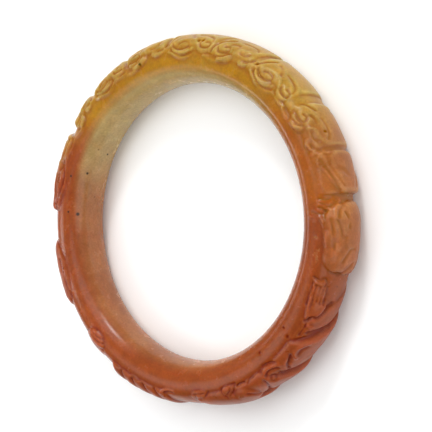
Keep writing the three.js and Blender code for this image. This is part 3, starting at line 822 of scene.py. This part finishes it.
def polished_nephrite(settings):
    """Nephrite with a russet rind, ground and hand polished.

    The waxy polish gives soft broad highlights. Light enters the stone and softens the
    carving. The rind turns from red-brown through amber to honey round the ring, and the
    bore shows the paler stone under it. Shade in the hollows, highlights on the crests and
    glints of the rough spots are painted into the colour.
    """
    material = bpy.data.materials.new("polished_russet_nephrite")
    material.use_nodes = True
    tree = material.node_tree
    shader = tree.nodes["Principled BSDF"]
    place = add_node(tree, "ShaderNodeTexCoord", output="Object")
    marks = {
        name: add_node(tree, ATTRIBUTE, {"attribute_name": name}, "Fac")
        for name in ("amber", "honey", "core", "bore", "carved", "painted_hollow_shade", "rim", "pitted")
    }
    clouding, mottle, grain, tooling = (
        add_node(tree, NOISE, {"Vector": place, "Scale": 1 / (size * MM), "Detail": detail})
        for size, detail in (
            (CLOUDING_SIZE, 5.0), (MOTTLE_SIZE, 5.0), (GRAIN_SIZE, 2.0), (TOOL_MARK_SIZE, 3.0)
        )
    )
    drift = remap(tree, clouding, NOISE_SPAN, (-ZONE_DRIFT, ZONE_DRIFT))

    # The zones of the rind drift into each other
    colour = (*settings.russet_tone, 1.0)
    for name, tone, strength, limit_by, limit in (
        ("amber", settings.amber_tone, 1.0, "MAXIMUM", 0.06),
        ("honey", settings.honey_tone, 1.0, "MINIMUM", 1.0),
        ("bore", settings.bore_tone, 0.6, "MINIMUM", 0.6),
        ("core", settings.core_tone, 1.0, "MINIMUM", 1.0),
    ):
        drifted = add_node(tree, MATH, {
            "operation": "MULTIPLY_ADD", 0: marks[name], 1: strength, 2: drift,
        })
        share = add_node(tree, MATH, {"operation": "MULTIPLY", 0: drifted, 1: marks[name]})
        share = add_node(tree, MATH, {"operation": limit_by, 0: share, 1: limit})
        colour = add_node(tree, MIX, {
            "data_type": "RGBA", SHARE: share, FIRST: colour, SECOND: (*tone, 1.0),
        })
    # Carved faces are worn and dry, so they are paler. Crests are paler still, from wear and a
    # painted highlight, and the rough spots' glints are painted pale.
    wear_and_highlight_base = add_node(tree, MATH, {
        "operation": "MULTIPLY_ADD", 0: marks["rim"], 1: CREST_WEAR_AND_HIGHLIGHT, 2: FACE_WEAR,
    })
    worn = add_node(tree, MATH, {"operation": "MULTIPLY", 0: wear_and_highlight_base, 1: marks["carved"]})
    pale_wear_and_highlight_tone = (*settings.russet_wear_and_highlight_tone, 1.0)
    for name, tone in (("amber", settings.amber_wear_and_highlight_tone), ("honey", settings.honey_wear_and_highlight_tone)):
        pale_wear_and_highlight_tone = add_node(tree, MIX, {
            "data_type": "RGBA", SHARE: marks[name], FIRST: pale_wear_and_highlight_tone, SECOND: (*tone, 1.0),
        })
    colour = add_node(tree, MIX, {
        "data_type": "RGBA", SHARE: worn, FIRST: colour, SECOND: pale_wear_and_highlight_tone,
    })

    # Milky veils run through the stone
    veil = add_node(tree, NOISE, {
        "Vector": place, "Scale": 1 / (VEIL_SIZE * MM), "Detail": 3.0, "Distortion": 0.8,
    })
    veil = remap(tree, veil, VEIL_SPAN, (0, VEIL_SHARE))
    colour = add_node(tree, MIX, {
        "data_type": "RGBA", SHARE: veil, FIRST: colour, SECOND: pale_wear_and_highlight_tone,
    })

    # Mottling, grain, dirt in the hollows and small specks darken the colour
    specks = add_node(tree, "ShaderNodeTexVoronoi", {
        "Vector": place, "Scale": 1 / (SPECK_SPACING * MM),
    })
    speck_share = SPECK_RADIUS / SPECK_SPACING
    value = None
    for source, before, after in (
        (clouding, NOISE_SPAN, (0.9, 1.1)),
        (mottle, NOISE_SPAN, (0.89, 1.09)),
        (grain, NOISE_SPAN, (0.88, 1.12)),
        (marks["pitted"], (0.2, 0.9), (1, DARK_SHARE)),
        (specks, (speck_share / 2, speck_share * 2), (0.5, 1)),
    ):
        tone = remap(tree, source, before, after)
        value = tone if value is None else add_node(tree, MATH, {
            "operation": "MULTIPLY", 0: value, 1: tone,
        })
    for turn, tilt, radius in BORE_SPECKS:
        distance = add_node(tree, "ShaderNodeVectorMath", {
            "operation": "DISTANCE", 0: place, 1: ring_points(turn, tilt, 0).tolist(),
        }, "Value")
        tone = remap(tree, distance, (radius * MM / 2, radius * MM), (DARK_SHARE, 1))
        value = add_node(tree, MATH, {"operation": "MULTIPLY", 0: value, 1: tone})
    colour = add_node(tree, "ShaderNodeVectorMath", {
        "operation": "SCALE", 0: colour, "Scale": value,
    })
    # Painted shade colours the hollows a deep red or amber
    hollow_shade_tone = add_node(tree, MIX, {
        "data_type": "RGBA", SHARE: marks["amber"],
        FIRST: (*settings.red_hollow_shade_tone, 1.0), SECOND: (*settings.amber_hollow_shade_tone, 1.0),
    })
    hollow_shade_share = add_node(tree, MATH, {"operation": "MULTIPLY", 0: marks["painted_hollow_shade"], 1: HOLLOW_SHADE_STRENGTH})
    colour = add_node(tree, MIX, {
        "data_type": "RGBA", SHARE: hollow_shade_share, FIRST: colour, SECOND: hollow_shade_tone,
    })
    tree.links.new(colour, shader.inputs["Base Color"])

    dullness = [settings.polish_roughness + change for change in MOTTLE_DULLNESS]
    dull = remap(tree, mottle, NOISE_SPAN, dullness)
    dull = add_node(tree, MATH, {
        "operation": "MULTIPLY_ADD", 0: marks["carved"], 1: CARVED_DULLNESS, 2: dull,
    })
    tree.links.new(dull, shader.inputs["Roughness"])
    # A pit is dull to its floor
    gloss = remap(tree, marks["pitted"], (0, 0.6), (GLOSS_LEVEL, 0))
    tree.links.new(gloss, shader.inputs["Specular IOR Level"])
    left_rough = add_node(tree, MATH, {
        "operation": "MULTIPLY_ADD", 0: marks["carved"], 1: CARVED_MARKS, 2: POLISHED_MARKS,
    })
    bump = add_node(tree, "ShaderNodeBump", {
        "Height": tooling, "Strength": left_rough, "Distance": TOOL_MARK_DEPTH * MM,
    })
    tree.links.new(bump, shader.inputs["Normal"])
    shader.inputs["IOR"].default_value = NEPHRITE_IOR
    shader.inputs["Subsurface Weight"].default_value = SCATTER_WEIGHT
    shader.inputs["Subsurface Radius"].default_value = SCATTER_SHARES
    shader.inputs["Subsurface Scale"].default_value = SCATTER_DEPTH * MM
    return material


def studio_paper(settings):
    """White paper with a matt uncoated surface, which gives an even floor with soft shadows."""
    material = bpy.data.materials.new("matt_white_paper")
    material.use_nodes = True
    shader = material.node_tree.nodes["Principled BSDF"]
    shader.inputs["Base Color"].default_value = (*settings.floor_colour, 1.0)
    shader.inputs["Roughness"].default_value = 0.9
    shader.inputs["IOR"].default_value = 1.45
    return material


def ring_middle():
    """The middle of the ring, in metres."""
    return Vector((AXIS_X, AXIS_Y, MIDDLE_HEIGHT * MM))


def camera_axes():
    """Directions out of the picture, to its right and to its top, in the ring's frame."""
    off, drop, roll = (math.radians(a) for a in (CAMERA_OFF_AXIS, CAMERA_DROP, CAMERA_ROLL))
    out = Vector((
        math.sin(off) * math.cos(drop), math.sin(drop), math.cos(off) * math.cos(drop)
    ))
    level = Vector((0, 1, 0)).cross(out).normalized()
    top = out.cross(level)
    right = level * math.cos(roll) + top * math.sin(roll)
    return out, right, out.cross(right)


def place_camera():
    """The camera, aimed so that the ring falls where the picture has it."""
    out, right, top = camera_axes()
    lens_pixels = SCALE_AT_RING * CAMERA_DISTANCE
    middle = PICTURE_SIDE / 2
    aside = (middle - RING_MIDDLE_PIXEL[0]) / SCALE_AT_RING * MM
    below = (RING_MIDDLE_PIXEL[1] - middle) / SCALE_AT_RING * MM
    position = ring_middle() + out * CAMERA_DISTANCE * MM
    aim = ring_middle() + right * aside + top * below
    back = (position - aim).normalized()
    level = top.cross(back).normalized()
    rows = Matrix((level, back.cross(level), back)).transposed()
    data = bpy.data.cameras.new("camera")
    data.sensor_width = SENSOR_WIDTH
    data.lens = lens_pixels / PICTURE_SIDE * SENSOR_WIDTH
    data.clip_start = 0.01
    camera = bpy.data.objects.new("camera", data)
    camera.matrix_world = Matrix.Translation(position) @ rows.to_4x4()
    bpy.context.collection.objects.link(camera)
    bpy.context.scene.camera = camera


def add_softbox(name, aim, direction, distance, side, power):
    """A square soft light that faces a place on the ring."""
    data = bpy.data.lights.new(name, "AREA")
    data.size = side
    data.energy = power
    light = bpy.data.objects.new(name, data)
    towards = Vector(direction).normalized()
    light.location = ring_middle() + Vector((*aim, 0)) * MM + towards * distance
    light.rotation_euler = towards.to_track_quat("Z", "Y").to_euler()
    bpy.context.collection.objects.link(light)


def tone_property(name, description, hex_colour):
    """A colour setting whose default is an sRGB hex colour."""
    return FloatVectorProperty(
        name=name, description=description, default=linear(hex_colour)[:3],
        subtype="COLOR", size=3, min=0.0, max=1.0,
    )


class JadeBangleSettings(bpy.types.PropertyGroup):
    """Sizes and colours that a user would change."""

    cloud_height: FloatProperty(
        name="Cloud height", description="How far the clouds stand above the ring",
        default=CLOUD_HEIGHT * MM, min=0.0, max=0.002, precision=4, unit="LENGTH",
    )
    dragon_height: FloatProperty(
        name="Dragon height", description="How far the dragon stands above the ring",
        default=DRAGON_HEIGHT * MM, min=0.0, max=0.002, precision=4, unit="LENGTH",
    )
    polish_roughness: FloatProperty(
        name="Polish roughness", description="Roughness of the polished band and bore",
        default=0.24, min=0.0, max=1.0, subtype="FACTOR",
    )
    russet_tone: tone_property("Russet", "Red-brown rind of the dragon half", "#914009")
    amber_tone: tone_property("Amber", "Orange stone between the halves", "#9e5204")
    honey_tone: tone_property("Honey", "Yellow stone of the cloud half", "#a67408")
    core_tone: tone_property("Core", "Pale stone under the rind, in the bore", "#b59c68")
    bore_tone: tone_property("Bore", "Stone a little under the rind, in the bore", "#ab794f")
    # Pale tones of wear, which also paint the highlights on crests and the glints
    russet_wear_and_highlight_tone: tone_property("Worn russet", "Worn stone of the dragon half", "#9c4a22")
    amber_wear_and_highlight_tone: tone_property("Worn amber", "Worn stone between the halves", "#ad7440")
    honey_wear_and_highlight_tone: tone_property("Worn honey", "Worn stone of the cloud half", "#b0984e")
    # Painted shade in the hollows of the dragon and of the clouds
    red_hollow_shade_tone: tone_property("Red hollows", "Stone in the dragon's hollows", "#7c2004")
    amber_hollow_shade_tone: tone_property("Amber hollows", "Stone in the clouds' hollows", "#965806")
    floor_colour: tone_property("Floor", "Paper that the bangle lies on", "#fcfdfd")
    floor_side: FloatProperty(
        name="Floor side", description="Length of the floor's side",
        default=4.0, min=0.5, unit="LENGTH",
    )


class OBJECT_OT_build_carved_ring(bpy.types.Operator):
    """Build the carved jade ring in place of the plain one"""

    bl_idname = "object.build_carved_ring"
    bl_label = "Carved ring"

    def execute(self, context):
        settings = context.scene.jade_bangle
        mesh = build_ring_mesh(
            "carved_ring", settings.cloud_height / MM, settings.dragon_height / MM
        )
        ring = bpy.data.objects.new("carved_ring", mesh)
        context.collection.objects.link(ring)
        mesh.materials.append(polished_nephrite(settings))
        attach(ring, "root")
        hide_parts("bangle")
        return {"FINISHED"}


class OBJECT_OT_build_bangle_stage(bpy.types.Operator):
    """Build the pale floor, the soft lights and the camera"""

    bl_idname = "object.build_bangle_stage"
    bl_label = "Stage"

    def execute(self, context):
        settings = context.scene.jade_bangle
        half = settings.floor_side / 2
        mesh = bpy.data.meshes.new("floor")
        corners = [(-half, -half, 0), (half, -half, 0), (half, half, 0), (-half, half, 0)]
        mesh.from_pydata(corners, [], [(0, 1, 2, 3)])
        floor = bpy.data.objects.new("floor", mesh)
        context.collection.objects.link(floor)
        mesh.materials.append(studio_paper(settings))
        world = bpy.data.worlds.new("studio_air")
        world.use_nodes = True
        background = world.node_tree.nodes["Background"]
        background.inputs["Color"].default_value = linear("#ffffff")
        direction = add_node(world.node_tree, "ShaderNodeTexCoord", output="Generated")
        towards = add_node(world.node_tree, "ShaderNodeVectorMath", {
            "operation": "DOT_PRODUCT", 0: direction, 1: BRIGHT_SIDE,
        })
        glow = remap(world.node_tree, towards, TENT_SPAN, TENT_GLOW)
        world.node_tree.links.new(glow, background.inputs["Strength"])
        context.scene.world = world
        # The plain view keeps the stone's strong colours as they are
        context.scene.view_settings.view_transform = "Standard"
        for softbox in SOFTBOXES:
            add_softbox(*softbox)
        place_camera()
        return {"FINISHED"}


class VIEW3D_PT_jade_bangle(bpy.types.Panel):
    """Lists the sizes, the colours and the steps that build the bangle"""

    bl_label = "Jade Bangle"
    bl_space_type = "VIEW_3D"
    bl_region_type = "UI"
    bl_category = "Jade Bangle"

    def draw(self, context):
        column = self.layout.column()
        for name in JadeBangleSettings.__annotations__:
            column.prop(context.scene.jade_bangle, name)
        for operator in OPERATORS:
            column.operator(operator.bl_idname)


OPERATORS = (OBJECT_OT_build_carved_ring, OBJECT_OT_build_bangle_stage)
CLASSES = (JadeBangleSettings, *OPERATORS, VIEW3D_PT_jade_bangle)


def register():
    """Registers the settings, the operators and the panel."""
    for one in CLASSES:
        bpy.utils.register_class(one)
    bpy.types.Scene.jade_bangle = PointerProperty(type=JadeBangleSettings)


def unregister():
    """Takes away all that register added."""
    del bpy.types.Scene.jade_bangle
    for one in reversed(CLASSES):
        bpy.utils.unregister_class(one)


def main():
    """Builds the bangle and its stage."""
    register()
    bpy.ops.object.build_carved_ring()
    bpy.ops.object.build_bangle_stage()


if __name__ == "__main__":
    main()
